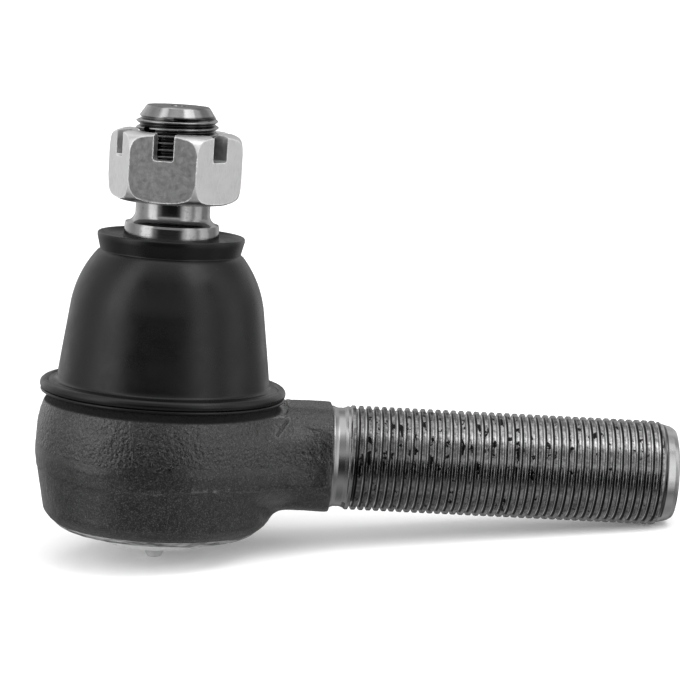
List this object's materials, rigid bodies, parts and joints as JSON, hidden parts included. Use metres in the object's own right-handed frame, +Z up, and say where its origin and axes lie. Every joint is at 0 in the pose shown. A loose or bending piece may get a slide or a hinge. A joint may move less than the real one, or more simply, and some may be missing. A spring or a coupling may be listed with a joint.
{
  "type": "tie rod end",
  "caption": "Heavy-duty steering tie rod end: forged socket with a threaded shank, tapered ball stud under a rubber dust boot, and a slotted nut.",
  "frame": {"origin": "centre of the ball, where the stud axis meets the shank axis", "axes": "+X out along the threaded shank, +Z up along the ball stud"},
  "size_m": [0.1751, 0.0676, 0.1232],
  "materials": {
    "forging": "dark forged scale, rough and speckled; the shank thread is oiled bare steel",
    "stud_steel": "fine-turned and ground",
    "nut_steel": "satin bright zinc",
    "boot_rubber": "satin moulded rubber",
    "seal_rubber": "smooth rubber",
    "bearing_steel": "hardened and ground",
    "spring_steel": "dark tempered wire",
    "ring_steel": "plain pressed steel",
    "zinc_plate": "pale zinc plate"
  },
  "bodies": {
    "socket": {"housing": "forging", "upper_bearing": "bearing_steel", "cover_plate": "zinc_plate", "cover_seal": "seal_rubber", "grease_fitting": "zinc_plate", "boot_base_ring": "ring_steel", "preload_spring": "spring_steel", "fitting_spring": "spring_steel"},
    "seat": {"lower_bearing": "bearing_steel"},
    "check_ball": {"fitting_ball": "bearing_steel"},
    "boot": {"dust_boot": "boot_rubber"},
    "boot_collar": {"boot_top_ring": "ring_steel"},
    "stud": {"ball_stud": "stud_steel"},
    "nut": {"slotted_nut": "nut_steel"}
  },
  "joints": [
    {"name": "swing_along_rod", "type": "hinge", "parent": "socket", "child": "boot", "pos_m": [0, 0, 0], "axis": [0, 1, 0], "range_deg": [-18, 18], "deforming": ["dust_boot"]},
    {"name": "swing_across_rod", "type": "hinge", "parent": "boot", "child": "boot_collar", "pos_m": [0, 0, 0], "axis": [1, 0, 0], "range_deg": [-18, 18]},
    {"name": "stud_spin", "type": "hinge", "parent": "boot_collar", "child": "stud", "pos_m": [0, 0, 0], "axis": [0, 0, 1], "continuous": true},
    {"name": "nut_turn", "type": "hinge", "parent": "stud", "child": "nut", "pos_m": [0, 0, 0.077], "axis": [0, 0, 1], "continuous": true},
    {"name": "seat_take_up", "type": "slide", "parent": "socket", "child": "seat", "axis": [0, 0, 1], "range_m": [-0.0006, 0], "stiffness_N_per_m": 20000, "springref_m": 0.004, "deforming": ["preload_spring"]},
    {"name": "nipple_ball_lift", "type": "slide", "parent": "socket", "child": "check_ball", "axis": [0, 0, 1], "range_m": [0, 0.0008], "stiffness_N_per_m": 20, "springref_m": -0.004, "deforming": ["fitting_spring"]}
  ]
}
